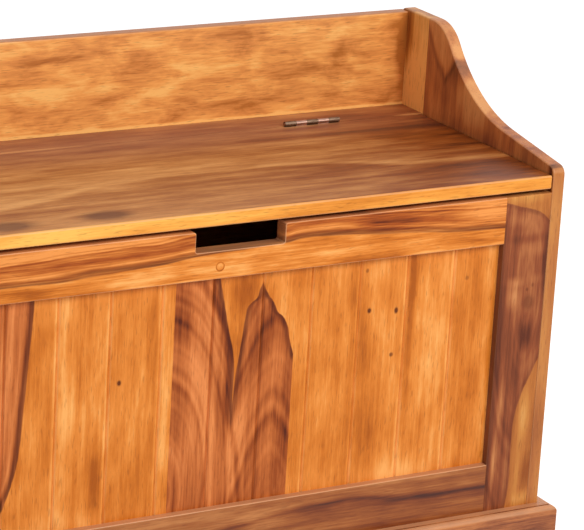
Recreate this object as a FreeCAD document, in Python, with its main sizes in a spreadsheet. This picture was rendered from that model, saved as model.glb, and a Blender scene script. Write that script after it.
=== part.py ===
import FreeCAD, Part
import math
import os
import re
import Sketcher

# Wooden storage bench with a lift-up plank seat.
# Frame: x to the right, y to the back, z up; the origin is on the floor under the middle of the bench.

# Driving dimensions in millimetres and degrees
SIZES = [
    ("body_width", 900, "outside of one end panel to the outside of the other"),
    ("body_depth", 371, "front of the frame to the back of the back boards"),
    ("end_thickness", 17, "end panel boards"),
    ("plinth_height", 65, "floor to the ledge on the plinth"),
    ("plinth_thickness", 18, "plinth boards, which stand proud of the carcass by this much"),
    ("ledge_width", 9.5, "flat ledge on the plinth beside the carcass"),
    ("quirk_width", 1.3, "narrow sunk line beside the ledge"),
    ("quirk_depth", 2.4, "narrow sunk line beside the ledge"),
    ("bullnose_drop", 0.8, "top of the rounded plinth edge below the ledge"),
    ("rail_height", 62, "part of the bottom rail that shows"),
    ("top_rail_height", 59, "top rail"),
    ("opening_height", 288, "boarded opening between the rails"),
    ("lid_gap", 5, "finger gap between the top rail and the lid"),
    ("lid_thickness", 17, "lid planks and hinge strip"),
    ("lid_side_clearance", 2, "lid end to end panel"),
    ("lid_round", 2.5, "rounding of the lid's front edges"),
    ("lid_end_round", 1.2, "eased top edges of the lid's ends"),
    ("seam_gap", 1.5, "lid to hinge strip"),
    ("strip_depth", 51, "fixed strip between the lid and the gallery"),
    ("end_rise", 127, "level top of the end panel above the seat"),
    ("rear_board_depth", 69, "rear board of the end panel"),
    ("shoulder_level", 7, "level stretch on the front board before the shoulder"),
    ("shoulder_radius", 55, "convex shoulder of the end panel"),
    ("sweep_angle", 53, "steepest slope between the shoulder and the sweep"),
    ("slope_angle", 8.2, "slope of the arm towards the front"),
    ("front_rise", 9, "arm above the seat, at the front before rounding"),
    ("corner_radius", 12, "rounded front corner of the arm"),
    ("rear_radius", 10, "rounded rear corner at the top of an end panel"),
    ("arris", 2, "eased edges of the end panels and the gallery"),
    ("frame_thickness", 20, "stiles and rails"),
    ("frame_arris", 1.5, "eased front edges of the frame"),
    ("stile_width", 65.5, "front stiles"),
    ("rail_lap", 20, "bottom rail hidden behind the plinth"),
    ("tenon_length", 22, "rail tenons"),
    ("tenon_thickness", 7, "rail tenons"),
    ("tenon_setback", 2.5, "front of the frame to the tenon"),
    ("tenon_inset", 12, "rail edge to the tenon"),
    ("tenon_clearance", 0.1, "tenon to mortise, each way"),
    ("notch_width", 118, "hand-hold in the top rail"),
    ("notch_depth", 25, "hand-hold in the top rail"),
    ("notch_radius", 3, "rounded corners of the hand-hold"),
    ("board_recess", 10, "front boards behind the face of the frame"),
    ("board_lap", 10, "front boards behind the frame's edges"),
    ("board_shift", 9.1, "first front board wider than the others"),
    ("board_spare", 4.7, "opening wider than equal front boards would be, shared by the first and the last"),
    ("board_bevel", 2.2, "half of the V between two boards"),
    ("tongue_length", 5, "board tongues"),
    ("tongue_thickness", 3, "board tongues"),
    ("tongue_clearance", 0.2, "tongue to groove, each way"),
    ("plug_radius", 6, "hole for the wooden plug in the top rail"),
    ("plug_depth", 8, "hole for the wooden plug in the top rail"),
    ("plug_clearance", 0.05, "plug to hole"),
    ("plug_offset", 26, "plug to the left of the middle"),
    ("plug_drop", 44, "plug below the rail's top edge"),
    ("back_thickness", 17, "back boards"),
    ("gallery_rise", 124, "gallery above the seat"),
    ("gallery_drop", 40, "gallery board below the seat"),
    ("floor_rise", 15, "top of the box floor above the plinth"),
    ("floor_thickness", 9, "box floor"),
    ("floor_clearance", 0.3, "box floor to the carcass"),
    ("cleat_size", 20, "square cleats under the box floor"),
    ("rest_width", 20, "cleats under the ends of the lid"),
    ("rest_height", 25, "cleats under the ends of the lid"),
    ("rest_gap", 0.3, "closed lid above its cleats"),
    ("rest_screw_inset", 45, "cleat end to its screw"),
    ("batten_width", 42, "lid battens"),
    ("batten_thickness", 18, "lid battens"),
    ("batten_inset", 183, "inside of an end panel to a batten's middle line"),
    ("batten_front", 32, "front of the lid to the batten"),
    ("batten_back", 20, "back of the lid to the batten"),
    ("hinge_length", 80, "butt hinges"),
    ("hinge_inset", 167, "inside of an end panel to a hinge's middle"),
    ("leaf_thickness", 1.5, "hinge leaves"),
    ("leaf_height", 14, "hinge leaves, let into the seam"),
    ("leaf_clearance", 0.1, "leaf to its recess"),
    ("knuckle_radius", 3.2, "hinge barrel"),
    ("knuckle_gap", 0.3, "between two knuckles"),
    ("barrel_lift", 0.2, "hinge barrel above the seat"),
    ("pin_radius", 1.6, "hinge pin"),
    ("pin_clearance", 0.05, "pin to knuckle"),
    ("screw_radius", 1.75, "wood screws, shank"),
    ("screw_head_radius", 3.2, "wood screws, countersunk head"),
    ("screw_clearance", 0.05, "screw to its hole"),
    ("screw_bite", 10, "length of a screw in the piece that it holds"),
    ("screw_spacing", 27, "hinge screws along the leaf"),
]

# Counts
BOARD_COUNT = 11
BACK_BOARD_COUNT = 3
PLANK_NAMES = ("front", "middle", "rear")
KNUCKLE_COUNT = 5
SIDES = (("left", -1), ("right", 1))

# Places that follow from the driving dimensions
PLACES = {
    "front_y": "(plinth_thickness - body_depth) / 2",
    "back_y": "(plinth_thickness + body_depth) / 2",
    "inner_x": "body_width / 2 - end_thickness",
    "stile_x": "inner_x - stile_width",
    "low_rail_top": "plinth_height + rail_height",
    "top_rail_z": "low_rail_top + opening_height",
    "frame_top": "top_rail_z + top_rail_height",
    "lid_z": "frame_top + lid_gap",
    "seat_z": "lid_z + lid_thickness",
    "frame_back": "front_y + frame_thickness",
    "gallery_y": "back_y - back_thickness",
    "strip_y": "gallery_y - strip_depth",
    "seam_y": "strip_y - seam_gap / 2",
    "lid_back": "strip_y - seam_gap",
    "lid_half": "inner_x - lid_side_clearance",
    "plank_depth": f"(lid_back - front_y) / {len(PLANK_NAMES)}",
    "board_pitch": f"(2 * stile_x - board_spare) / {BOARD_COUNT}",
    "board_start": "board_shift - stile_x",
    "board_thickness": "frame_thickness - board_recess",
    "board_height": "opening_height + 2 * board_lap",
    "back_board_height": f"(seat_z - gallery_drop) / {BACK_BOARD_COUNT}",
    "floor_z": "plinth_height + floor_rise - floor_thickness",
    "axis_z": "seat_z + barrel_lift + knuckle_radius",
    "leaf_z": "seat_z - leaf_height",
    "knuckle_pitch": f"hinge_length / {KNUCKLE_COUNT}",
    "rest_z": "lid_z - rest_gap - rest_height",
    "rest_length": "gallery_y - frame_back",
    "head_height": "screw_head_radius - screw_radius",
    "hole_radius": "screw_radius + screw_clearance",
    "hinge_screw_z": "seat_z - leaf_height / 2",
    "hinge_x": "inner_x - hinge_inset",
    "batten_x": "inner_x - batten_inset",
}

doc = FreeCAD.newDocument("storage_bench")
sheet = doc.addObject("Spreadsheet::Sheet", "Sizes")
for row, (alias, number, note) in enumerate(SIZES, 1):
    sheet.set(f"A{row}", alias)
    sheet.set(f"B{row}", str(number))
    sheet.set(f"C{row}", note)
    sheet.setAlias(f"B{row}", alias)
doc.recompute()

ALIASES = {alias for alias, number, note in SIZES}
WORD = re.compile(r"[a-z][a-z_]*")
parts = []
solid_counts = {}
corners = {}


# Expressions

def expand(text):
    """Write a formula in named sizes and places as one over the cells of the sheet."""
    def word(match):
        name = match.group()
        if name in PLACES:
            return f"({expand(PLACES[name])})"
        return f"Sizes.{name}" if name in ALIASES else name
    return WORD.sub(word, text)


def bind(thing, prop, text):
    """Drive one property of an object by a formula."""
    thing.setExpression(prop, expand(text))


def place(thing, corner):
    """Drive an object's position by three formulas."""
    for axis, text in zip("xyz", corner):
        bind(thing, f"Placement.Base.{axis}", text)


def size(alias):
    """Read one driving dimension."""
    return float(sheet.get(alias))


# Bodies made of blocks, cylinders and cones

TURNS = {
    "+z": FreeCAD.Rotation(),
    "+x": FreeCAD.Rotation(FreeCAD.Vector(0, 1, 0), 90),
    "-x": FreeCAD.Rotation(FreeCAD.Vector(0, 1, 0), -90),
    "+y": FreeCAD.Rotation(FreeCAD.Vector(1, 0, 0), -90),
    "-y": FreeCAD.Rotation(FreeCAD.Vector(1, 0, 0), 90),
}


def new_part(label, corner, solids=1):
    """Start a sub-part's body at a corner and note how many solids it has."""
    body = doc.addObject("PartDesign::Body", label)
    body.Label = label
    place(body, corner)
    corners[label] = corner
    solid_counts[label] = solids
    parts.append(body)
    return body


def add_feature(body, kind, sizes, at=None, direction="+z"):
    """Add a primitive to a body, at a point of the bench, with its axis turned to a direction."""
    feature = body.newObject(f"PartDesign::{kind}", f"{body.Name}_{kind}")
    for prop, text in sizes.items():
        bind(feature, prop, text)
    feature.Placement = FreeCAD.Placement(FreeCAD.Vector(), TURNS[direction])
    if at:
        local = [f"{text} - ({start})" for text, start in zip(at, corners[body.Label])]
        place(feature, local)
    doc.recompute()
    return feature


def block(body, kind, extent, at=None):
    """Add or cut a block of a given length, width and height."""
    return add_feature(body, f"{kind}Box", dict(zip(("Length", "Width", "Height"), extent)), at)


def board(label, extent, corner):
    """Make a sub-part that starts as a block with its low corner at a point of the bench."""
    body = new_part(label, corner)
    block(body, "Additive", extent)
    return body


def drill(body, radius, depth, at, direction):
    """Cut a round hole."""
    add_feature(body, "SubtractiveCylinder", {"Radius": radius, "Height": depth}, at, direction)


def countersink(body, at, direction, depth):
    """Cut a screw hole through a piece, with the seat for the screw's head at its start."""
    drill(body, "hole_radius", depth, at, direction)
    cone = {
        "Radius1": "screw_head_radius + screw_clearance",
        "Radius2": "hole_radius",
        "Height": "head_height",
    }
    add_feature(body, "SubtractiveCone", cone, at, direction)


def flat_edges(shape, wanted, avoided=()):
    """Name the edges that lie in all the wanted sides of a shape's box and in none of the avoided ones."""
    outer = shape.BoundBox
    near = 1e-4

    def lies_in(edge, side):
        low = getattr(edge.BoundBox, side[1].upper() + "Min")
        high = getattr(edge.BoundBox, side[1].upper() + "Max")
        level = getattr(outer, side[1].upper() + ("Min" if side[0] == "-" else "Max"))
        return abs(low - level) < near and abs(high - level) < near

    names = []
    for number, edge in enumerate(shape.Edges, 1):
        inside = all(lies_in(edge, side) for side in wanted)
        if inside and not any(lies_in(edge, side) for side in avoided):
            names.append(f"Edge{number}")
    return names


def ease(body, kind, amount, edges):
    """Round over (Fillet) or bevel (Chamfer) named edges of a body's last feature."""
    base = body.Tip
    feature = body.newObject(f"PartDesign::{kind}", f"{body.Name}_{kind}")
    feature.Base = (base, edges)
    bind(feature, "Radius" if kind == "Fillet" else "Size", amount)
    doc.recompute()


# Sketches

def origin_plane(body, role):
    """Find one of a body's own origin planes."""
    return next(plane for plane in body.Origin.OriginFeatures if plane.Role == role)


def new_sketch(body, role):
    """Attach an empty sketch to one of a body's origin planes."""
    sketch = body.newObject("Sketcher::SketchObject", f"{body.Name}_sketch")
    sketch.AttachmentSupport = [(origin_plane(body, role), "")]
    sketch.MapMode = "FlatFace"
    return sketch


def line(sketch, start, end):
    """Draw a line between two points of a sketch."""
    return sketch.addGeometry(Part.LineSegment(FreeCAD.Vector(*start, 0), FreeCAD.Vector(*end, 0)))


def arc(sketch, centre, radius, start, end):
    """Draw an arc of a circle, anticlockwise between two angles in radians."""
    circle = Part.Circle(FreeCAD.Vector(*centre, 0), FreeCAD.Vector(0, 0, 1), radius)
    return sketch.addGeometry(Part.ArcOfCircle(circle, start, end))


def dimension(sketch, text, *constraint):
    """Add a dimension to a sketch and drive it by a formula."""
    index = sketch.addConstraint(Sketcher.Constraint(*constraint))
    sketch.setExpression(f"Constraints[{index}]", expand(text))


def pad(body, sketch, length):
    """Extrude a sketch along its normal."""
    feature = body.newObject("PartDesign::Pad", f"{body.Name}_pad")
    feature.Profile = sketch
    bind(feature, "Length", length)
    sketch.Visibility = False
    doc.recompute()
    return feature


# End panels

def end_profile(body):
    """Draw the front board's outline: a level top, a convex shoulder, a hollow sweep and a sloping arm."""
    depth = size("body_depth") - size("rear_board_depth")
    seat = (size("plinth_height") + size("rail_height") + size("opening_height")
            + size("top_rail_height") + size("lid_gap") + size("lid_thickness"))
    top = seat + size("end_rise")
    steep = math.radians(size("sweep_angle"))
    gentle = math.radians(size("slope_angle"))
    shoulder = size("shoulder_radius")
    corner = size("corner_radius")
    level_y = depth - size("shoulder_level")
    bend_y = level_y - shoulder * math.sin(steep)
    bend_z = top - shoulder * (1 - math.cos(steep))
    run = math.sin(steep) - math.sin(gentle)
    fall = math.cos(gentle) - math.cos(steep)
    drop = bend_z - seat - size("front_rise") - math.tan(gentle) * bend_y
    sweep = drop / (fall - math.tan(gentle) * run)
    sweep_centre = (bend_y - sweep * math.sin(steep), bend_z + sweep * math.cos(steep))
    arm = (sweep_centre[0] + sweep * math.sin(gentle), sweep_centre[1] - sweep * math.cos(gentle))
    corner_z = seat + size("front_rise") + corner * (math.tan(gentle) - 1 / math.cos(gentle))
    corner_end = (corner - corner * math.sin(gentle), corner_z + corner * math.cos(gentle))
    quarter = math.pi / 2

    sketch = new_sketch(body, "YZ_Plane")
    front = line(sketch, (0, 0), (0, corner_z))
    nose = arc(sketch, (corner, corner_z), corner, quarter + gentle, 2 * quarter)
    slope = line(sketch, corner_end, arm)
    hollow = arc(sketch, sweep_centre, sweep, gentle - quarter, steep - quarter)
    hump = arc(sketch, (level_y, top - shoulder), shoulder, quarter, quarter + steep)
    level = line(sketch, (level_y, top), (depth, top))
    joint = line(sketch, (depth, top), (depth, 0))
    foot = line(sketch, (depth, 0), (0, 0))
    for pair in ((front, 2, nose, 2), (nose, 1, slope, 1), (slope, 2, hollow, 1),
                 (hollow, 2, hump, 2), (hump, 1, level, 1)):
        sketch.addConstraint(Sketcher.Constraint("Tangent", *pair))
    for pair in ((level, 2, joint, 1), (joint, 2, foot, 1), (foot, 2, front, 1), (front, 1, -1, 1)):
        sketch.addConstraint(Sketcher.Constraint("Coincident", *pair))
    sketch.addConstraint(Sketcher.Constraint("Vertical", front))
    sketch.addConstraint(Sketcher.Constraint("Vertical", joint))
    sketch.addConstraint(Sketcher.Constraint("Horizontal", level))
    sketch.addConstraint(Sketcher.Constraint("Horizontal", foot))
    dimension(sketch, "body_depth - rear_board_depth", "DistanceX", foot, 2, foot, 1, depth)
    dimension(sketch, "seat_z + end_rise", "DistanceY", joint, 2, joint, 1, top)
    dimension(sketch, "shoulder_level", "DistanceX", level, 1, level, 2, depth - level_y)
    dimension(sketch, "shoulder_radius", "Radius", hump, shoulder)
    dimension(sketch, "shoulder_radius * (1 - cos(sweep_angle))",
              "DistanceY", hump, 2, hump, 1, top - bend_z)
    dimension(sketch, "corner_radius", "Radius", nose, corner)
    dimension(sketch, "seat_z + front_rise + corner_radius * (tan(slope_angle) - 1 / cos(slope_angle))",
              "DistanceY", front, 1, front, 2, corner_z)
    dimension(sketch, "corner_radius * (1 - sin(slope_angle))",
              "DistanceX", front, 2, nose, 1, corner_end[0])
    return sketch


def end_panel(side, sign):
    """Make one end panel: a shaped front board and a narrow rear board, glued edge to edge."""
    start_x = "inner_x" if sign > 0 else "-body_width / 2"
    inner = "inner_x" if sign > 0 else "-inner_x"
    outward = "+x" if sign > 0 else "-x"
    front = new_part(f"end_{side}_front_board", (start_x, "front_y", "0"))
    pad(front, end_profile(front), "end_thickness")
    outline = front.Shape.copy()
    outline.Placement = FreeCAD.Placement()
    faces = flat_edges(outline, ["-x"], ["-z", "+y"]) + flat_edges(outline, ["+x"], ["-z", "+y"])
    ease(front, "Fillet", "arris", faces)
    for screw_y in REST_SCREWS:
        drill(front, "hole_radius", "screw_bite", (inner, screw_y, REST_SCREW_Z), outward)

    joint_y = "back_y - rear_board_depth"
    extent = ("end_thickness", "rear_board_depth", "seat_z + end_rise")
    rear = board(f"end_{side}_rear_board", extent, (start_x, joint_y, "0"))
    ease(rear, "Fillet", "rear_radius", flat_edges(rear.Tip.Shape, ["+y", "+z"]))
    shape = rear.Tip.Shape
    ease(rear, "Fillet", "arris", flat_edges(shape, ["-x", "+z"]) + flat_edges(shape, ["+x", "+z"]))


# Front frame

def stile(side, sign):
    """Make one front stile, with mortises for the rails and a stopped rebate for the boards."""
    start_x = "stile_x" if sign > 0 else "-inner_x"
    extent = ("stile_width", "frame_thickness", "frame_top")
    body = board(f"front_stile_{side}", extent, (start_x, "front_y", "0"))
    shape = body.Tip.Shape
    ease(body, "Fillet", "frame_arris", flat_edges(shape, ["-y"], ["-z"]))
    rebate = ("board_lap", "board_thickness", "board_height")
    rebate_x = "stile_x" if sign > 0 else "-stile_x - board_lap"
    block(body, "Subtractive", rebate, (rebate_x, "front_y + board_recess", "low_rail_top - board_lap"))
    mortise_length = "tenon_length + tenon_clearance"
    mortise_x = "stile_x" if sign > 0 else f"-stile_x - ({mortise_length})"
    for low, high in (("plinth_height - rail_lap", "low_rail_top"), ("top_rail_z", "frame_top")):
        mortise = (mortise_length, "tenon_thickness + 2 * tenon_clearance",
                   f"{high} - ({low}) - 2 * (tenon_inset - tenon_clearance)")
        at = (mortise_x, "front_y + tenon_setback - tenon_clearance",
              f"{low} + tenon_inset - tenon_clearance")
        block(body, "Subtractive", mortise, at)


def tenons(body, low, high):
    """Add the tenons at both ends of a rail that runs between two heights."""
    tenon = ("tenon_length", "tenon_thickness", f"{high} - ({low}) - 2 * tenon_inset")
    for start_x in ("stile_x", "-stile_x - tenon_length"):
        block(body, "Additive", tenon, (start_x, "front_y + tenon_setback", f"{low} + tenon_inset"))


def top_rail():
    """Make the top rail with its hand-hold notch, plug hole, rebate and tenons."""
    corner = ("-stile_x", "front_y", "top_rail_z")
    body = board("front_top_rail", ("2 * stile_x", "frame_thickness", "top_rail_height"), corner)
    notch = ("notch_width", "frame_thickness", "notch_depth")
    notch_place = ("-notch_width / 2", "front_y", "frame_top - notch_depth")
    notch_feature = block(body, "Subtractive", notch, notch_place)
    cross_edges = []
    middle = size("body_width") / 2 - size("end_thickness") - size("stile_width")
    for number, edge in enumerate(notch_feature.Shape.Edges, 1):
        along_y = abs(edge.tangentAt(edge.FirstParameter).y) > 0.999
        if along_y and abs(edge.CenterOfMass.x - middle) < size("notch_width"):
            cross_edges.append(f"Edge{number}")
    ease(body, "Fillet", "notch_radius", cross_edges)
    ease(body, "Fillet", "frame_arris", flat_edges(body.Tip.Shape, ["-y"], ["-x", "+x"]))
    block(body, "Subtractive", ("2 * stile_x", "board_thickness", "board_lap"),
          ("-stile_x", "front_y + board_recess", "top_rail_z"))
    drill(body, "plug_radius", "plug_depth", PLUG_PLACE, "+y")
    tenons(body, "top_rail_z", "frame_top")


def bottom_rail():
    """Make the bottom rail, whose lower edge is hidden behind the plinth."""
    low = "plinth_height - rail_lap"
    body = board("front_bottom_rail", ("2 * stile_x", "frame_thickness", "rail_height + rail_lap"),
                 ("-stile_x", "front_y", low))
    ease(body, "Fillet", "frame_arris", flat_edges(body.Tip.Shape, ["-y", "+z"]))
    block(body, "Subtractive", ("2 * stile_x", "board_thickness", "board_lap"),
          ("-stile_x", "front_y + board_recess", "low_rail_top - board_lap"))
    tenons(body, low, "low_rail_top")


def rail_plug():
    """Make the wooden plug that is let into the top rail."""
    body = new_part("rail_plug", PLUG_PLACE)
    sizes = {"Radius": "plug_radius - plug_clearance", "Height": "plug_depth"}
    add_feature(body, "AdditiveCylinder", sizes, direction="+y")


def front_board(index):
    """Make one tongue and groove board of the front; the outer two run on behind the stiles."""
    first = index == 0
    last = index == BOARD_COUNT - 1
    left_x = f"board_start + {index} * board_pitch"
    right_x = f"board_start + {index + 1} * board_pitch"
    start_x = "-stile_x - board_lap" if first else left_x
    width = "board_pitch"
    if first:
        width = "board_pitch + board_shift + board_lap"
    if last:
        width = "board_pitch - board_shift + board_spare + board_lap"
    front = "front_y + board_recess"
    low = "low_rail_top - board_lap"
    extent = (width, "board_thickness", "board_height")
    body = board(f"front_board_{index + 1:02d}", extent, (start_x, front, low))
    shape = body.Tip.Shape
    bevels = [] if first else flat_edges(shape, ["-x", "-y"])
    bevels += [] if last else flat_edges(shape, ["+x", "-y"])
    ease(body, "Chamfer", "board_bevel", bevels)
    tongue_y = f"{front} + (board_thickness - tongue_thickness) / 2"
    if not first:
        groove = ("tongue_length + tongue_clearance", "tongue_thickness + 2 * tongue_clearance",
                  "board_height")
        block(body, "Subtractive", groove, (left_x, f"{tongue_y} - tongue_clearance", low))
    if not last:
        tongue = ("tongue_length", "tongue_thickness", "board_height")
        block(body, "Additive", tongue, (right_x, tongue_y, low))


# Back

def back_board(label, low, height, tongue, groove):
    """Make one horizontal back board between the end panels."""
    body = board(label, ("2 * inner_x", "back_thickness", height), ("-inner_x", "gallery_y", low))
    tongue_y = "gallery_y + (back_thickness - tongue_thickness) / 2"
    shape = body.Tip.Shape
    joints = flat_edges(shape, ["+y", "+z"]) if tongue else []
    joints += flat_edges(shape, ["+y", "-z"]) if groove else []
    ease(body, "Chamfer", "board_bevel", joints)
    if not tongue:
        shape = body.Tip.Shape
        ease(body, "Fillet", "arris", flat_edges(shape, ["-y", "+z"]) + flat_edges(shape, ["+y", "+z"]))
    if groove:
        slot = ("2 * inner_x", "tongue_thickness + 2 * tongue_clearance",
                "tongue_length + tongue_clearance")
        block(body, "Subtractive", slot, ("-inner_x", f"{tongue_y} - tongue_clearance", low))
    if tongue:
        block(body, "Additive", ("2 * inner_x", "tongue_thickness", "tongue_length"),
              ("-inner_x", tongue_y, f"{low} + {height}"))


def hinge_recess(body, face_y, direction):
    """Cut the two recesses for hinge leaves, and their screw holes, into an edge along the seam."""
    leaf_y = face_y if direction == "+y" else f"{face_y} - leaf_thickness"
    wood_y = f"{face_y} {direction[0]} leaf_thickness"
    recess = ("hinge_length + 2 * leaf_clearance", "leaf_thickness", "leaf_height + leaf_clearance")
    for side, sign in SIDES:
        middle = f"{sign} * hinge_x"
        block(body, "Subtractive", recess,
              (f"{middle} - hinge_length / 2 - leaf_clearance", leaf_y, "leaf_z - leaf_clearance"))
        for step in (-1, 0, 1):
            at = (f"{middle} + {step} * screw_spacing", wood_y, "hinge_screw_z")
            drill(body, "hole_radius", "screw_bite", at, direction)


def hinge_strip():
    """Make the fixed strip that carries the hinges, flush with the lid."""
    extent = ("2 * inner_x", "strip_depth", "lid_thickness")
    body = board("hinge_strip", extent, ("-inner_x", "strip_y", "lid_z"))
    hinge_recess(body, "strip_y", "+y")


# Inside of the box

def box_floor():
    """Make the box floor and the four cleats that carry it."""
    board("floor_panel",
          ("2 * (inner_x - floor_clearance)", "rest_length - 2 * floor_clearance", "floor_thickness"),
          ("-inner_x + floor_clearance", "frame_back + floor_clearance", "floor_z"))
    cleat_z = "floor_z - cleat_size"
    long_cleat = ("2 * inner_x", "cleat_size", "cleat_size")
    board("floor_cleat_front", long_cleat, ("-inner_x", "frame_back", cleat_z))
    board("floor_cleat_back", long_cleat, ("-inner_x", "gallery_y - cleat_size", cleat_z))
    short_cleat = ("cleat_size", "rest_length - 2 * cleat_size", "cleat_size")
    board("floor_cleat_left", short_cleat, ("-inner_x", "frame_back + cleat_size", cleat_z))
    board("floor_cleat_right", short_cleat, ("inner_x - cleat_size", "frame_back + cleat_size", cleat_z))


def lid_rest(side, sign):
    """Make the cleat on an end panel that carries the end of the closed lid and of the hinge strip."""
    start_x = "inner_x - rest_width" if sign > 0 else "-inner_x"
    head_x = "inner_x - rest_width" if sign > 0 else "-inner_x + rest_width"
    extent = ("rest_width", "rest_length", "rest_height")
    body = board(f"lid_rest_{side}", extent, (start_x, "frame_back", "rest_z"))
    for screw_y in REST_SCREWS:
        countersink(body, (head_x, screw_y, REST_SCREW_Z), "+x" if sign > 0 else "-x", "rest_width")


# Plinth

def plinth_board(label, length, mitres, corner, angle):
    """Make a plinth board along local x, with its moulded face at low y and mitres at the chosen ends."""
    thick = size("plinth_thickness")
    tall = size("plinth_height")
    inner_quirk = -size("ledge_width")
    outer_quirk = inner_quirk - size("quirk_width")
    quirk_z = tall - size("quirk_depth")
    nose_top = tall - size("bullnose_drop")
    nose = thick + outer_quirk

    body = new_part(label, corner)
    sketch = new_sketch(body, "YZ_Plane")
    points = [(-thick, 0), (0, 0), (0, tall), (inner_quirk, tall), (inner_quirk, quirk_z),
              (outer_quirk, quirk_z), (outer_quirk, nose_top)]
    lines = [line(sketch, start, end) for start, end in zip(points, points[1:])]
    round_edge = arc(sketch, (outer_quirk, nose_top - nose), nose, math.pi / 2, math.pi)
    face = line(sketch, (-thick, nose_top - nose), (-thick, 0))
    foot, inside, ledge, quirk_in, quirk_floor, quirk_out = lines
    for first, second in zip(lines, lines[1:]):
        sketch.addConstraint(Sketcher.Constraint("Coincident", first, 2, second, 1))
    sketch.addConstraint(Sketcher.Constraint("Coincident", quirk_out, 2, round_edge, 1))
    sketch.addConstraint(Sketcher.Constraint("Tangent", round_edge, 2, face, 1))
    sketch.addConstraint(Sketcher.Constraint("Coincident", face, 2, foot, 1))
    sketch.addConstraint(Sketcher.Constraint("Coincident", foot, 2, -1, 1))
    for level in (foot, ledge, quirk_floor):
        sketch.addConstraint(Sketcher.Constraint("Horizontal", level))
    for upright in (inside, quirk_in, quirk_out, face):
        sketch.addConstraint(Sketcher.Constraint("Vertical", upright))
    sketch.addConstraint(Sketcher.Constraint("Vertical", quirk_out, 2, round_edge, 3))
    dimension(sketch, "plinth_thickness", "DistanceX", foot, 1, foot, 2, thick)
    dimension(sketch, "plinth_height", "DistanceY", inside, 1, inside, 2, tall)
    dimension(sketch, "ledge_width", "DistanceX", ledge, 2, ledge, 1, -inner_quirk)
    dimension(sketch, "quirk_depth", "DistanceY", quirk_in, 2, quirk_in, 1, tall - quirk_z)
    dimension(sketch, "quirk_width", "DistanceX", quirk_floor, 2, quirk_floor, 1, inner_quirk - outer_quirk)
    dimension(sketch, "quirk_depth - bullnose_drop",
              "DistanceY", quirk_out, 1, quirk_out, 2, nose_top - quirk_z)
    stock = pad(body, sketch, length)
    long = stock.Length.Value

    mitre = new_sketch(body, "XY_Plane")
    for end in mitres:
        edge_x, inner_x = (0, thick) if end == "low" else (long, long - thick)
        outline = [(edge_x, -thick), (edge_x, 0), (inner_x, 0)]
        sides = [line(mitre, a, b) for a, b in zip(outline, outline[1:] + outline[:1])]
        for first, second in zip(sides, sides[1:] + sides[:1]):
            mitre.addConstraint(Sketcher.Constraint("Coincident", first, 2, second, 1))
        mitre.addConstraint(Sketcher.Constraint("Vertical", sides[0]))
        mitre.addConstraint(Sketcher.Constraint("Horizontal", sides[1]))
        mitre.addConstraint(Sketcher.Constraint("PointOnObject", sides[1], 1, -1))
        dimension(mitre, "plinth_thickness", "DistanceY", sides[0], 1, sides[0], 2, thick)
        if end == "low":
            dimension(mitre, "plinth_thickness", "DistanceX", sides[1], 1, sides[1], 2, thick)
            mitre.addConstraint(Sketcher.Constraint("PointOnObject", sides[1], 1, -2))
        else:
            dimension(mitre, "plinth_thickness", "DistanceX", sides[1], 2, sides[1], 1, thick)
            dimension(mitre, length, "DistanceX", -1, 1, sides[1], 1, long)
    cut = body.newObject("PartDesign::Pocket", f"{label}_mitre")
    cut.Profile = mitre
    cut.Type = "ThroughAll"
    cut.Reversed = True
    mitre.Visibility = False
    doc.recompute()
    if not cut.Shape.Volume < stock.Shape.Volume:
        raise RuntimeError(f"the mitre of {label} cut nothing")
    body.Placement.Rotation = FreeCAD.Rotation(FreeCAD.Vector(0, 0, 1), angle)


def plinth():
    """Make the front and side boards of the plinth."""
    half = "body_width / 2"
    side_length = "body_depth + plinth_thickness"
    plinth_board("plinth_front", "body_width + 2 * plinth_thickness", ("low", "high"),
                 (f"-{half} - plinth_thickness", "front_y", "0"), 0)
    plinth_board("plinth_right", side_length, ("low",), (half, "front_y - plinth_thickness", "0"), 90)
    plinth_board("plinth_left", side_length, ("high",), (f"-{half}", "back_y", "0"), -90)


# Lid

def lid_plank(index, name):
    """Make one plank of the lid, with pilot holes for the batten screws."""
    low_y = f"front_y + {index} * plank_depth"
    body = board(f"lid_plank_{name}", ("2 * lid_half", "plank_depth", "lid_thickness"),
                 ("-lid_half", low_y, "lid_z"))
    if name == "front":
        shape = body.Tip.Shape
        ease(body, "Fillet", "lid_round", flat_edges(shape, ["-y", "+z"]) + flat_edges(shape, ["-y", "-z"]))
    shape = body.Tip.Shape
    ease(body, "Fillet", "lid_end_round", flat_edges(shape, ["-x", "+z"]) + flat_edges(shape, ["+x", "+z"]))
    if name == "rear":
        hinge_recess(body, "lid_back", "-y")
    for side, sign in SIDES:
        at = (f"{sign} * batten_x", f"{low_y} + plank_depth / 2", "lid_z")
        drill(body, "hole_radius", "screw_bite", at, "+z")


def lid_batten(side, sign):
    """Make a batten across the underside of the lid, screwed to each plank."""
    low_z = "lid_z - batten_thickness"
    middle = f"{sign} * batten_x"
    length = "lid_back - front_y - batten_front - batten_back"
    body = board(f"lid_batten_{side}", ("batten_width", length, "batten_thickness"),
                 (f"{middle} - batten_width / 2", "front_y + batten_front", low_z))
    shape = body.Tip.Shape
    ease(body, "Chamfer", "board_bevel", flat_edges(shape, ["-z"]))
    for index in range(len(PLANK_NAMES)):
        screw_y = f"front_y + ({index} + 0.5) * plank_depth"
        countersink(body, (middle, screw_y, low_z), "+z", "batten_thickness")


# Hinges

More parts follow.
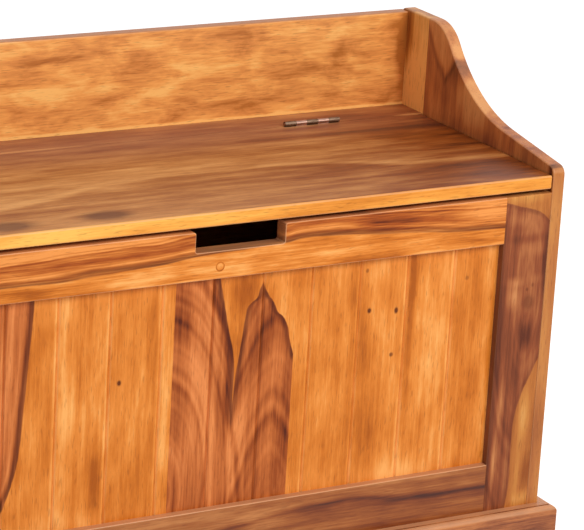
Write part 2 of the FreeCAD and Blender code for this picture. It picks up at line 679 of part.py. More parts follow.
def hinge_leaf(label, sign, leaf_y, face_y, inward, knuckles):
    """Make one leaf of a butt hinge: the plate in the seam, and necks up to its knuckles round the pin."""
    start_x = f"{sign} * hinge_x - hinge_length / 2"
    extent = ("hinge_length", "leaf_thickness", "leaf_height - leaf_clearance")
    body = board(label, extent, (start_x, leaf_y, "leaf_z"))
    for knuckle in knuckles:
        low_x = f"{start_x} + {knuckle} * knuckle_pitch + knuckle_gap / 2"
        length = "knuckle_pitch - knuckle_gap"
        neck_z = "seat_z - leaf_clearance"
        block(body, "Additive", (length, "leaf_thickness", f"axis_z - ({neck_z})"), (low_x, leaf_y, neck_z))
        add_feature(body, "AdditiveCylinder", {"Radius": "knuckle_radius", "Height": length},
                    (low_x, "seam_y", "axis_z"), "+x")
    drill(body, "pin_radius + pin_clearance", "hinge_length", (start_x, "seam_y", "axis_z"), "+x")
    for step in (-1, 0, 1):
        at = (f"{sign} * hinge_x + {step} * screw_spacing", face_y, "hinge_screw_z")
        countersink(body, at, inward, "leaf_thickness")


def hinge(side, sign):
    """Make one butt hinge: a fixed leaf, a lid leaf and the pin."""
    hinge_leaf(f"hinge_leaf_fixed_{side}", sign, "strip_y", "strip_y", "+y", range(0, KNUCKLE_COUNT, 2))
    hinge_leaf(f"hinge_leaf_lid_{side}", sign, "lid_back - leaf_thickness", "lid_back", "-y",
               range(1, KNUCKLE_COUNT, 2))
    pin = new_part(f"hinge_pin_{side}", (f"{sign} * hinge_x - hinge_length / 2", "seam_y", "axis_z"))
    add_feature(pin, "AdditiveCylinder", {"Radius": "pin_radius", "Height": "hinge_length"}, direction="+x")


# Screws

def screw(name, at, direction, length):
    """Make a countersunk screw that starts at a point and runs along a direction."""
    head = doc.addObject("Part::Cone", f"{name}_head")
    bind(head, "Radius1", "screw_head_radius")
    bind(head, "Radius2", "screw_radius")
    bind(head, "Height", "head_height")
    shank = doc.addObject("Part::Cylinder", f"{name}_shank")
    bind(shank, "Radius", "screw_radius")
    bind(shank, "Height", length)
    whole = doc.addObject("Part::MultiFuse", name)
    whole.Shapes = [head, shank]
    whole.Placement = FreeCAD.Placement(FreeCAD.Vector(), TURNS[direction])
    place(whole, at)
    return whole


def screw_group(label, places, length):
    """Make a group of equal screws as one sub-part."""
    group = doc.addObject("Part::Compound", label)
    group.Label = label
    group.Links = [screw(f"{label}_{number}", at, direction, length)
                   for number, (at, direction) in enumerate(places, 1)]
    solid_counts[label] = len(places)
    parts.append(group)


def hinge_screw_places(face_y, direction):
    """List the places of the screws of one leaf of each hinge."""
    return [((f"{sign} * hinge_x + {step} * screw_spacing", face_y, "hinge_screw_z"), direction)
            for side, sign in SIDES for step in (-1, 0, 1)]


def screws():
    """Make the screws of the hinges, the lid battens and the lid's cleats."""
    hinge_length = "leaf_thickness + screw_bite"
    screw_group("hinge_screws_fixed", hinge_screw_places("strip_y", "+y"), hinge_length)
    screw_group("hinge_screws_lid", hinge_screw_places("lid_back", "-y"), hinge_length)
    batten_places = [((f"{sign} * batten_x", f"front_y + ({index} + 0.5) * plank_depth",
                       "lid_z - batten_thickness"), "+z")
                     for side, sign in SIDES for index in range(len(PLANK_NAMES))]
    screw_group("batten_screws", batten_places, "batten_thickness + screw_bite")
    rest_places = [((f"{sign} * (inner_x - rest_width)", screw_y, REST_SCREW_Z), "+x" if sign > 0 else "-x")
                   for side, sign in SIDES for screw_y in REST_SCREWS]
    screw_group("lid_rest_screws", rest_places, "rest_width + screw_bite")


# Places shared by a piece and the one that it fits
PLUG_PLACE = ("-plug_offset", "front_y", "frame_top - plug_drop")
REST_SCREW_Z = "rest_z + rest_height / 2"
REST_SCREWS = ("frame_back + rest_screw_inset", "back_y - rear_board_depth - rest_screw_inset")

for side, sign in SIDES:
    end_panel(side, sign)
    stile(side, sign)
    lid_rest(side, sign)
    lid_batten(side, sign)
    hinge(side, sign)
top_rail()
bottom_rail()
rail_plug()
for index in range(BOARD_COUNT):
    front_board(index)
for index in range(BACK_BOARD_COUNT):
    low = f"{index} * back_board_height"
    back_board(f"back_board_{index + 1}", low, "back_board_height", True, index > 0)
back_board("gallery_board", "seat_z - gallery_drop", "gallery_drop + gallery_rise", False, True)
hinge_strip()
box_floor()
plinth()
for index, name in enumerate(PLANK_NAMES):
    lid_plank(index, name)
screws()
doc.recompute()

# Check every object and every sub-part before writing any file
for thing in doc.Objects:
    if "Invalid" in thing.State or "Error" in thing.State:
        raise RuntimeError(f"{thing.Name} did not build: {thing.State}")
for part in parts:
    if part.Shape.isNull() or not part.Shape.isValid():
        raise RuntimeError(f"{part.Label} has no valid shape")
    if len(part.Shape.Solids) != solid_counts[part.Label]:
        raise RuntimeError(f"{part.Label} has {len(part.Shape.Solids)} solids")

os.makedirs("parts", exist_ok=True)
for part in parts:
    part.Shape.exportStep(f"parts/{part.Label}.step")
print(f"{len(parts)} sub-parts written")
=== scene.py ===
# %% [markdown]
# # A lacquered storage bench
# The bench is a box of solid Indian rosewood with a plank seat that lifts on two steel hinges. The packed
# model already holds every board in its true shape and place, so this lesson adds what shapes can't give:
# the figure of the wood, the lacquer over it, the steel, the light and the camera.

# %% Load the frame
import math
from functools import partial

import bpy
import numpy as np
from mathutils import Matrix, Vector

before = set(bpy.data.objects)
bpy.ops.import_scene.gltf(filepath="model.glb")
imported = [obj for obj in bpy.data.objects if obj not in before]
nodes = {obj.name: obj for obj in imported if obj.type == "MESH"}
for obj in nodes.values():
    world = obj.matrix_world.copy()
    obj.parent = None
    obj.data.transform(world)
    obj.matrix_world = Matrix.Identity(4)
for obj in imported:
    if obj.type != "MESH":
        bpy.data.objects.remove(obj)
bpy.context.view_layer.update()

# %% [markdown]
# ## Camera
# A long lens far away keeps upright boards nearly parallel. The straight edges of the bench in the picture
# settle where the camera stood: a little left of the middle, above seat height, and tipped a few degrees on
# its own axis. Yaw, pitch and roll are turned into three axes, because that leaves no doubt about the order.

# %% Camera at the picture's viewpoint
PICTURE_WIDTH = 584
FOCAL_PIXELS = 3137.1
SENSOR_WIDTH = 36
VIEW_DEPTH = 50
CAMERA_PLACE = Vector((-1.7146, -3.1832, 1.5330))
CAMERA_YAW, CAMERA_PITCH, CAMERA_ROLL = (math.radians(a) for a in (30.6895, 17.6372, 3.3362))

ahead = Vector((math.sin(CAMERA_YAW) * math.cos(CAMERA_PITCH),
                math.cos(CAMERA_YAW) * math.cos(CAMERA_PITCH),
                -math.sin(CAMERA_PITCH)))
level = Vector((math.cos(CAMERA_YAW), -math.sin(CAMERA_YAW), 0))
upright = level.cross(ahead)
right = math.cos(CAMERA_ROLL) * level + math.sin(CAMERA_ROLL) * upright
above = math.cos(CAMERA_ROLL) * upright - math.sin(CAMERA_ROLL) * level

camera = bpy.data.objects.new("camera", bpy.data.cameras.new("camera"))
camera.data.sensor_width = SENSOR_WIDTH
camera.data.lens = FOCAL_PIXELS * SENSOR_WIDTH / PICTURE_WIDTH
camera.data.clip_end = VIEW_DEPTH
camera.matrix_world = Matrix((right, above, -ahead)).transposed().to_4x4()
camera.location = CAMERA_PLACE
bpy.context.scene.collection.objects.link(camera)
bpy.context.scene.camera = camera
print(f"lens {camera.data.lens:.1f} mm")

# %% [markdown]
# ## Adding nodes
# Every finish below is a chain of shader nodes. One small function adds a node: its settings are plain
# properties, its links go to the inputs that are in use, and a ramp or a curve takes its points as a list.
# Colours are written as the hex codes that a paint chart gives, and one function makes them linear light.

# %% Node and colour helpers
def linear(code):
    """Turn an sRGB hex code into linear light: each channel follows the sRGB curve."""
    channels = np.array([int(code[i:i + 2], 16) for i in (1, 3, 5)]) / 255
    light = np.where(channels <= 0.04045, channels / 12.92, ((channels + 0.055) / 1.055) ** 2.4)
    return (*light, 1.0)


def add(tree, kind, links=(), out=None, stops=(), points=(), **settings):
    """Add one node and return its output: a socket in links is connected, a plain value is written in."""
    made = tree.nodes.new("ShaderNode" + kind)
    for key, value in settings.items():
        setattr(made, key, value)
    open_inputs = [socket for socket in made.inputs if socket.enabled]
    for key, value in links.items() if isinstance(links, dict) else enumerate(links):
        socket = made.inputs[key] if isinstance(key, str) else open_inputs[key]
        if isinstance(value, bpy.types.NodeSocket):
            tree.links.new(value, socket)
        else:
            socket.default_value = value
    for number, (position, code) in enumerate(stops):
        elements = made.color_ramp.elements
        stop = elements[number] if number < 2 else elements.new(position)
        stop.position = position
        stop.color = linear(code)
    for number, point in enumerate(points):
        knots = made.mapping.curves[0].points
        knot = knots[number] if number < 2 else knots.new(*point)
        knot.location = point
    if points:
        made.mapping.update()
    return made.outputs[out] if out else next((socket for socket in made.outputs if socket.enabled), None)


def blank(owner):
    """Give a material or a world an empty node tree, and return the function that adds a node to it."""
    owner.use_nodes = True
    owner.node_tree.nodes.clear()
    return partial(add, owner.node_tree)


print("half grey in linear light:", round(linear("#808080")[0], 3))

# %% [markdown]
# ## Light and floor
# The picture is lit softly from the front, on plain white. Several lamps could do that, but one large lamp to
# the right of the camera gives one soft shadow and a pale world fills it. The floor looks white to the
# camera while it still takes the shadow.

# %% World and lamp
WHITE = (1, 1, 1, 1)
FILL = 0.5
LAMP_SIZE = 1.6
LAMP_POWER = 92
LAMP_PLACE = Vector((0.8, -3.0, 2.7))
LAMP_AIM = Vector((0, 0, 0.35))


def looked_at(put):
    """1 for a ray from the camera, a reflection or clear glass; 0 for the light that only fills shadows."""
    path = put("LightPath").node.outputs
    seen = put("Math", [path["Is Camera Ray"], path["Is Glossy Ray"]], operation="MAXIMUM")
    return put("Math", [seen, path["Is Transmission Ray"]], operation="MAXIMUM")


world = bpy.data.worlds.new("studio")
put = blank(world)
strength = put("MapRange", [looked_at(put), 0, 1, FILL, 1])
put("OutputWorld", [put("Background", [WHITE, strength])])
bpy.context.scene.world = world
bpy.context.scene.view_settings.view_transform = "Standard"

lamp = bpy.data.objects.new("key_lamp", bpy.data.lights.new("key_lamp", "AREA"))
lamp.data.size = LAMP_SIZE
lamp.data.energy = LAMP_POWER
lamp.location = LAMP_PLACE
lamp.rotation_euler = (LAMP_AIM - LAMP_PLACE).to_track_quat("-Z", "Y").to_euler()
bpy.context.scene.collection.objects.link(lamp)
print(f"lamp of {LAMP_POWER} W, {LAMP_SIZE} m across, fill {FILL}")

# %% Floor
FLOOR_REACH = 15
FLOOR_LEVEL = -0.0005
PAPER = (0.8, 0.8, 0.8, 1)
PAPER_GLOW = 0.65

corners = [(-1, -1), (1, -1), (1, 1), (-1, 1)]
floor_mesh = bpy.data.meshes.new("floor")
floor_mesh.from_pydata([(x * FLOOR_REACH, y * FLOOR_REACH, FLOOR_LEVEL) for x, y in corners],
                       [], [(0, 1, 2, 3)])
floor = bpy.data.objects.new("floor", floor_mesh)
bpy.context.scene.collection.objects.link(floor)

paper = bpy.data.materials.new("white_paper_sweep")
put = blank(paper)
glow = put("Emission", [WHITE, put("MapRange", [looked_at(put), 0, 1, 0, PAPER_GLOW])])
put("OutputMaterial", [put("AddShader", [put("BsdfDiffuse", [PAPER]), glow])])
floor_mesh.materials.append(paper)
print(f"floor {2 * FLOOR_REACH} m across")

# %% [markdown]
# ## How the wood is drawn
# Indian rosewood has two woods in one board: golden sapwood near the bark and red-brown heartwood inside,
# with a dark line where they meet and rings behind it. A picture of a plank could be laid on every board, but
# it would repeat, and no two boards are alike. So each board gets a figure of three fields: its depth in
# millimetres inside the heartwood, below zero in the sapwood, the place of its rings, and a tone that
# lightens or darkens it. Noise drawn out along the grain adds streaks, clouds and fibres.

# %% Noise, spots and faces
AXES = {"x": 0, "y": 1, "z": 2}
MILLIMETRES = 1000
NOISE_ROUGHNESS = 0.55
TURN = (0.4, 0.7)


def on_bench(put):
    """Place on the bench in millimetres: every piece sits at the origin, so Object coordinates give it."""
    return put("VectorMath", {"Vector": put("TexCoord", out="Object"), "Scale": MILLIMETRES},
               operation="SCALE")


def drawn_out(put, place, grain, along, across, detail=2.0, shift=0.0, out=None, swirl=0.0):
    """Noise from 0 to 1 whose patches are so many millimetres long on the grain and wide across it."""
    scale = [1 / across] * 3
    scale[AXES[grain]] = 1 / along
    stretched = put("Mapping", {"Vector": place, "Location": (shift, shift, shift), "Scale": scale})
    return put("TexNoise", {"Vector": stretched, "Scale": 1.0, "Detail": detail, "Roughness": NOISE_ROUGHNESS,
                            "Distortion": swirl}, out=out)


def weigh(put, start, *shares):
    """Start plus each field's share: its weight times how far it is from a half."""
    total = start - sum(weight for _, weight in shares) / 2
    for field, weight in shares:
        total = put("Math", [field, weight, total], operation="MULTIPLY_ADD")
    return total


def soft_spot(put, place, centre, reach):
    """1 at the middle of an oval patch, 0 from its rim outwards; reach is its half size on each axis."""
    moved = put("VectorMath", [place, centre], operation="SUBTRACT")
    shrunk = put("VectorMath", [moved, [1 / r for r in reach]], operation="MULTIPLY")
    far = put("VectorMath", [shrunk], operation="LENGTH")
    return put("MapRange", [far, 0, 1, 1, 0], interpolation_type="SMOOTHSTEP")


def faces(put, **tones):
    """Tone of the faces that are turned right, left or up, which paints light and shade by the way a face
    turns; 0 on all the others.
    """
    across, _, upward = put("SeparateXYZ", [put("TexCoord", out="Normal")]).node.outputs
    sides = {"right": (across, 1), "left": (across, -1), "up": (upward, 1)}
    total = 0.0
    for side, tone in tones.items():
        field, sign = sides[side]
        turned = put("MapRange", [field, TURN[0] * sign, TURN[1] * sign, 0, tone])
        total = put("Math", [turned, total], operation="ADD")
    return total


def squareness(put):
    """1 on a face that is square to an axis of the bench, less on an eased edge."""
    normal = put("SeparateXYZ", [put("TexCoord", out="Normal")]).node.outputs
    across, through, upward = [put("Math", [side], operation="ABSOLUTE") for side in normal]
    return put("Math", [put("Math", [across, through], operation="MAXIMUM"), upward], operation="MAXIMUM")


helpers = (on_bench, drawn_out, weigh, soft_spot, faces, squareness)
print("fields:", ", ".join(helper.__name__ for helper in helpers))

# %% [markdown]
# ## The lacquered wood
# The boards were planed, sanded and sprayed with a satin lacquer. The lacquer is a thin clear coat, so the
# shader has a coat over a rougher base; the fibres make the base a little uneven in colour and gloss.
# Eased edges get a painted highlight: a pale colour goes where the face's normal turns away from every axis
# of the bench. Faces turned up or to the left, such as ledges and recess sides, take some of it as painted
# light.
# The open pores are short dark dashes along the grain. Real ones are a fifth of a millimetre wide, too fine
# for a picture, so they are drawn about one and a half.
# Colours are set a little deeper than the eye sees them, because the gloss lays some white over them.

# %% Lacquer
ROUGHNESS = (0.34, 0.46)
LACQUER_IOR = 1.5
COAT_ROUGHNESS = 0.2
RELIEF = {"Strength": 0.05, "Distance": 0.0004}


def lacquered(put, colour, fibre, gloss, coat):
    """Clear coat over a rougher base, whose roughness and relief follow the fibres."""
    rough = put("MapRange", [fibre, 0.2, 0.8, *ROUGHNESS])
    relief = put("Bump", {"Height": fibre, **RELIEF})
    return put("BsdfPrincipled", {"Base Color": colour, "Roughness": rough, "Normal": relief,
                                  "IOR": LACQUER_IOR, "Specular IOR Level": gloss, "Coat Weight": coat,
                                  "Coat Roughness": COAT_ROUGHNESS})


print(f"lacquer of roughness {ROUGHNESS[0]} to {ROUGHNESS[1]}")

# %% Rosewood
SAP = ((0.1, "#AC5712"), (0.38, "#D07424"), (0.62, "#E68B39"), (0.9, "#FAAF60"))
HEART = ((0.08, "#461606"), (0.34, "#883C14"), (0.6, "#BA6022"), (0.88, "#DC8034"))
LINE = "#4C1602"
# Pale colour of the painted highlights on edges and the painted light on faces turned up or left
PAINTED_HIGHLIGHT = "#E8AE80"
# Greyish colour of the painted sheen
SHEEN_COLOUR = "#986E62"
PORE = "#6A2C0C"
PORE_SIZE = (16, 1.6)
BROAD_SIZE = (480, 45)
BEND_SIZE = (120, 30)
FRAYED_EDGE = 2.5
FRAYED_RINGS = 4.0
SOFT_EDGE = 0.9
BROKEN_LINE = (0.36, 0.58)
PORE_LEVELS = (0.6, 0.72)
KNOT_HEART = 0.6
EDGE_HIGHLIGHT_RANGE = (0.9, 0.985)


def figured_wood(name, grain, figure, sap=SAP, heart=HEART, ring=15.0, wander=10.0, rim=0.9, rim_width=10.0,
                 sap_shares=(0.35, 0.5, 0.3, 0.9), heart_shares=(0.9, 0.6, 0.25, 0.4), streaks=(420, 8),
                 clouds=(70, 24), fibres=(40, 1.8), swirl=0.0, knots=(), sheens=(), pores=0.3, edge_highlight=0.3,
                 face_light=0.0, gloss=0.24, coat=0.12, shift=0.0):
    """Wood with a drawn figure. The shares weigh streaks, broad bands, fibres and clouds in the sapwood, and
    rings, streaks, fibres and clouds in the heartwood. Streaks, clouds and fibres are lengths and widths;
    ring is the spacing of the rings, wander how far the grain strays and rim the strength of the dark line
    where the woods meet. Knots are dark spots, and the sheen spots mix in a greyish painted sheen. Two shares
    mix in a pale colour: one as a painted highlight on eased edges, one as painted light on faces turned up
    or to the left. Shift moves the noise, so that boards with the same figure differ."""
    material = bpy.data.materials.new(name)
    put = blank(material)
    place = on_bench(put)

    # Each noise has a shift of its own, so that no two of them show the same patches
    fibre = drawn_out(put, place, grain, *fibres, 3.0, shift)
    streak = drawn_out(put, place, grain, *streaks, 2.0, shift + 4.1, "Color")
    streak, fade, thread = put("SeparateColor", [streak]).node.outputs
    broad = drawn_out(put, place, grain, *BROAD_SIZE, 1.0, shift + 9.3)
    cloud = drawn_out(put, place, grain, *clouds, 4.0, shift + 7.7, swirl=swirl)
    bend = drawn_out(put, place, grain, *BEND_SIZE, 1.0, shift + 2.3, "Color")
    bend = put("VectorMath", [bend, (0.5, 0.5, 0.5)], operation="SUBTRACT")
    bent = put("VectorMath", [bend, (wander, wander, wander), place], operation="MULTIPLY_ADD")

    # The two woods and the soft boundary between them
    depth, rings, tone = figure(put, place, bent)
    depth = put("Math", [depth, weigh(put, 0.0, (fibre, FRAYED_EDGE))], operation="ADD")
    rings = put("Math", [rings, weigh(put, 0.0, (thread, FRAYED_RINGS))], operation="ADD")
    turn = put("Math", [rings, 1 / ring, shift], operation="MULTIPLY_ADD")
    wide = put("TexNoise", {"W": turn, "Scale": 1.0, "Detail": 2.0, "Roughness": 0.6}, noise_dimensions="1D")
    heart_tone = weigh(put, 0.5, *zip((wide, streak, fibre, cloud), heart_shares))
    sap_tone = weigh(put, 0.5, *zip((streak, broad, fibre, cloud), sap_shares))
    heart_tone = put("Math", [heart_tone, tone], operation="ADD")
    sap_tone = put("Math", [sap_tone, tone], operation="ADD")
    heart_colour = put("ValToRGB", [heart_tone], stops=heart)
    sap_colour = put("ValToRGB", [sap_tone], stops=sap)
    inside = put("MapRange", [depth, -SOFT_EDGE, SOFT_EDGE, 0, 1], interpolation_type="SMOOTHSTEP")
    colour = put("Mix", [inside, sap_colour, heart_colour], data_type="RGBA")

    # The dark line, pores, knots, painted sheen, and the pale of painted highlights and painted light
    dark = put("MapRange", [depth, 0.3 * rim_width, rim_width, 1, 0], interpolation_type="SMOOTHSTEP")
    broken = put("MapRange", [fade, *BROKEN_LINE, 0.5 * rim, rim])
    dark = put("Math", [put("Math", [dark, broken], operation="MULTIPLY"), inside], operation="MULTIPLY")
    colour = put("Mix", [dark, colour, linear(LINE)], data_type="RGBA")
    pore = drawn_out(put, place, grain, *PORE_SIZE, 1.0, shift + 5.9)
    pore = put("MapRange", [pore, *PORE_LEVELS, 0, pores])
    colour = put("Mix", [pore, colour, linear(PORE)], data_type="RGBA")
    for centre, reach, strength in knots:
        spot = put("MapRange", [soft_spot(put, place, centre, reach), 0.0, KNOT_HEART, 0, strength])
        colour = put("Mix", [spot, colour, linear(LINE)], data_type="RGBA")
    # Painted sheen: a greyish colour mixed in where the gloss would reflect
    for centre, reach, strength in sheens:
        painted_sheen = put("Math", [soft_spot(put, place, centre, reach), strength], operation="MULTIPLY")
        colour = put("Mix", [painted_sheen, colour, linear(SHEEN_COLOUR)], data_type="RGBA")
    # Painted highlight on eased edges, and painted light on faces turned up or to the left
    pale = put("MapRange", [squareness(put), *EDGE_HIGHLIGHT_RANGE, edge_highlight, 0])
    pale = put("Math", [pale, faces(put, left=face_light, up=face_light)], operation="MAXIMUM")
    colour = put("Mix", [pale, colour, linear(PAINTED_HIGHLIGHT)], data_type="RGBA")
    put("OutputMaterial", [lacquered(put, colour, fibre, gloss, coat)])
    return material


print(f"sapwood {SAP[0][1]} to {SAP[-1][1]}, heartwood {HEART[0][1]} to {HEART[-1][1]}")


# %% Giving a finish to boards
def finish_with(material, *names):
    """Give one material to CAD nodes."""
    for name in names:
        mesh = nodes[name].data
        mesh.materials.clear()
        mesh.materials.append(material)
    print(f"{material.name}: {', '.join(names)}")


# %% [markdown]
# ## Curves, rings and tones
# The outline of a flame, a wavy line or a streak has one place across the board for every place along it, so
# a curve through a few points draws it. Rings are the long ovals of a trunk that is cut lengthwise. Light and
# dark areas are soft spots and soft lines that add up. All of these are fields of the place on the bench, so
# the same noise that bends the grain can bend them too.

# %% Curves, rings and tones
ALL_HEART = 60
ALL_SAP = -60


def edge_line(put, along, points):
    """Curve through points, in millimetres: along goes in, the place of the boundary across comes out."""
    first, last = points[0][0], points[-1][0]
    low = min(p[1] for p in points)
    high = max(p[1] for p in points)
    unit = put("MapRange", [along, first, last, 0, 1])
    steps = [((p[0] - first) / (last - first), (p[1] - low) / (high - low)) for p in points]
    curve = put("FloatCurve", {"Value": unit}, points=[steps[0], steps[-1], *steps[1:-1]])
    return put("MapRange", [curve, 0, 1, low, high])


def beyond(put, across, along, points):
    """How far a place lies beyond a curve across the board."""
    return put("Math", [across, edge_line(put, along, points)], operation="SUBTRACT")


def trunk(put, along, across, pith, start, stretch, taper=0.0):
    """Rings of a trunk cut lengthwise: distance from a point of the pith, drawn out along the board."""
    beside = put("Math", [across, pith], operation="SUBTRACT")
    up = put("Math", [put("Math", [along, start], operation="SUBTRACT"), stretch], operation="DIVIDE")
    square = put("Math", [up, up], operation="MULTIPLY")
    square = put("Math", [beside, beside, square], operation="MULTIPLY_ADD")
    distance = put("Math", [square], operation="SQRT")
    return put("Math", [along, taper, distance], operation="MULTIPLY_ADD")


def soft_line(put, distance, width):
    """1 on a line, 0 from its width outwards; distance is how far a place lies from the line."""
    away = put("Math", [distance], operation="ABSOLUTE")
    return put("MapRange", [away, 0, width, 1, 0], interpolation_type="SMOOTHSTEP")


def toned(put, place, spots, lines=()):
    """Tone of a board: each soft spot adds its strength at its middle, each line its strength along it."""
    tone = 0.0
    for centre, reach, strength in spots:
        tone = put("Math", [soft_spot(put, place, centre, reach), strength, tone], operation="MULTIPLY_ADD")
    for distance, width, strength in lines:
        tone = put("Math", [soft_line(put, distance, width), strength, tone], operation="MULTIPLY_ADD")
    return tone


helpers = (edge_line, beyond, trunk, soft_line, toned)
print("figures:", ", ".join(helper.__name__ for helper in helpers))

# %% [markdown]
# ## Front boards
# The boarded front was glued up from golden staves and one dark stave near its middle, which shows two
# flames with a wedge of sapwood between them; another flame runs up the left side. Each flame's outline is
# a curve of its place across the boards against height, so the depth is the distance inside that outline.
# The rings inside the stave are the arches that a board shows when it is cut along a tapering trunk.

# %% Flames and tones of the front boards
STAVE = (-77, 84.5)
LEFT_FLAME = [(107, -310), (169, -289), (198, -277), (225, -271), (288, -266), (357, -261), (432, -257)]
FIRST_FLAME = [(107, 30), (200, 18), (249, 6), (296, 5), (318, 2), (340, -4), (366, -10), (408, -18),
               (432, -22)]
SECOND_NEAR = [(107, -20), (200, -8), (252, 5), (292, 8), (329, 13), (359, 17), (371, 19), (377, 24),
               (384, 33), (394, 36), (432, 60)]
SECOND_FAR = [(107, 96), (285, 96), (307, 85), (324, 79), (340, 75), (353, 69), (362, 60), (373, 55),
              (387, 45), (403, 38), (432, 20)]
FIRST_BORDER = (7.5, -0.3)
LEFT_BORDER = (5.0, -0.32)
BOARD_HEART = ((0.08, "#521A04"), (0.34, "#964618"), (0.6, "#C46B32"), (0.88, "#E68B4C"))
BOARD_TONES = [
    ((246, -166, 385), (11, 60, 230), -0.45), ((-87, -166, 270), (11, 60, 300), 0.25),
    ((-40, -166, 250), (40, 60, 200), 0.28), ((-66, -166, 365), (34, 60, 90), -0.08),
    ((-320, -166, 260), (60, 60, 300), 0.42), ((50, -166, 310), (60, 60, 160), -0.04),
    ((-171, -166, 180), (15, 60, 90), -0.4), ((290, -166, 330), (50, 60, 150), 0.26),
    ((190, -166, 190), (50, 60, 60), -0.1), ((-215, -166, 280), (22, 60, 180), 0.18),
    ((14, -166, 385), (26, 60, 40), -0.28), ((4, -166, 331), (22, 60, 40), -0.35),
    ((100, -166, 400), (40, 60, 30), -0.3), ((75, -166, 366), (50, 60, 45), -0.1),
    ((-45, -166, 337), (25, 60, 50), 0.15), ((10, -166, 190), (28, 60, 120), 0.32),
    ((-84, -166, 145), (30, 60, 45), -0.2), ((195, -166, 400), (40, 60, 30), 0.2),
    ((-232, -166, 400), (35, 60, 35), 0.28), ((-180, -166, 266), (25, 60, 50), -0.05),
    ((220, -166, 125), (170, 60, 45), 0.25), ((-220, -166, 125), (130, 60, 45), 0.25),
    ((335, -166, 310), (45, 60, 180), -0.16), ((-128, -166, 290), (32, 60, 180), 0.14),
    ((81, -166, 230), (11, 60, 150), -0.28)]
FRONT_PINS = [((187, -166, 348), (4, 20, 5), 0.9), ((225, -166, 344), (4, 20, 6), 0.9),
              ((222, -166, 288), (4, 20, 4), 0.7), ((-146, -166, 299), (4, 20, 5), 0.9),
              ((181, -166, 399), (3, 20, 4), 0.5), ((324, -166, 374), (4, 20, 4), 0.4)]
print(f"dark stave {STAVE[1] - STAVE[0]} mm wide, {len(FRONT_PINS)} pin knots")

# %% Front boards
FIRST_PITH = (-84, 150, 2.6)
SECOND_PITH = (60, 60, 12, 0.36)
SECOND_SPREAD = 0.55
OUT_OF_REACH = 2000
FIRST_JOINT = -358.4
BOARD_PITCH = 66.39
EDGE_WIDTH = 3.6
EDGE_HIGHLIGHT_WIDTH = 2.6
ACROSS_LINE = (-2, 2)
# Tones of the painted highlight along a board's right edge and of the painted light on a joint's left side,
# each in sapwood and in heartwood; a joint's right side takes painted shade
EDGE_HIGHLIGHT_TONES = (0.16, 0.06)
JOINT_LIGHT_TONES = (0.25, -0.05)
JOINT_SHADE = -0.05


def front_figure(put, place, bent):
    """Depth in the deepest flame; rings of the left flame outside the stave, arches inside it. Each board has
    a painted highlight along its right edge, weaker in the dark wood, and painted light and shade on the
    sides of its joints; two flames have a brown border."""
    straight = put("SeparateXYZ", [place]).node.outputs[0]
    x, _, z = put("SeparateXYZ", [bent]).node.outputs
    left = put("Math", [beyond(put, x, z, LEFT_FLAME), -1], operation="MULTIPLY")
    first = put("Math", [beyond(put, x, z, FIRST_FLAME), -1], operation="MULTIPLY")
    far = put("Math", [beyond(put, x, z, SECOND_FAR), -1], operation="MULTIPLY")
    second = put("Math", [beyond(put, x, z, SECOND_NEAR), far], operation="MINIMUM")
    flames = put("Math", [first, second], operation="MAXIMUM")
    stave = put("Math", [put("Math", [straight, STAVE[0]], operation="GREATER_THAN"),
                         put("Math", [straight, STAVE[1]], operation="LESS_THAN")], operation="MULTIPLY")
    flames = put("Math", [flames, put("MapRange", [stave, 0, 1, -OUT_OF_REACH, 0])], operation="ADD")
    depth = put("Math", [left, flames], operation="MAXIMUM")
    first_rings = trunk(put, z, x, *FIRST_PITH)
    second_rings = trunk(put, z, x, *SECOND_PITH)
    second_rings = put("Math", [second_rings, SECOND_SPREAD], operation="MULTIPLY")
    which = put("Math", [first, second], operation="LESS_THAN")
    rings = put("Mix", [which, first_rings, second_rings])
    rings = put("Mix", [stave, left, rings])
    run = put("Math", [straight, FIRST_JOINT], operation="SUBTRACT")
    run = put("Math", [run, BOARD_PITCH], operation="FLOORED_MODULO")
    to_edge = put("Math", [run, BOARD_PITCH - EDGE_WIDTH], operation="SUBTRACT")
    # Painted highlight along each board's right edge, weaker in the heartwood
    by_wood = put("MapRange", [depth, *ACROSS_LINE, *EDGE_HIGHLIGHT_TONES])
    pale = put("Math", [soft_line(put, to_edge, EDGE_HIGHLIGHT_WIDTH), by_wood], operation="MULTIPLY")
    in_stave = put("Math", [first, put("MapRange", [stave, 0, 1, OUT_OF_REACH, 0])], operation="ADD")
    borders = [(put("Math", [flame, width], operation="SUBTRACT"), width, strength)
               for flame, (width, strength) in ((in_stave, FIRST_BORDER), (left, LEFT_BORDER))]
    tone = put("Math", [toned(put, bent, BOARD_TONES, borders), pale], operation="ADD")
    # Painted light on the left side of each joint, painted shade on its right side
    by_wood = put("MapRange", [depth, *ACROSS_LINE, *JOINT_LIGHT_TONES])
    joint = put("Math", [faces(put, left=1.0), by_wood], operation="MULTIPLY")
    tone = put("Math", [tone, joint], operation="ADD")
    return depth, rings, put("Math", [tone, faces(put, right=JOINT_SHADE)], operation="ADD")


boards = figured_wood("sheesham_front_boards", "z", front_figure, heart=BOARD_HEART, wander=6, rim=0.85,
                      rim_width=9, sap_shares=(0.4, 0.5, 0.45, 1.0), heart_shares=(1.15, 0.5, 0.4, 0.4),
                      knots=FRONT_PINS, edge_highlight=0.0, face_light=0.02, gloss=0.12, coat=0.06)
finish_with(boards, *[f"front_board_{i:02d}" for i in range(1, 12)])

# %% [markdown]
# ## Top rail
# One board: red heartwood along its top edge, gold below, with a wavy line between them and streaks that
# run beside that line. Noise can't be told where to run, so the line is a curve along the rail: the depth is
# the height above it, and the rings follow it.

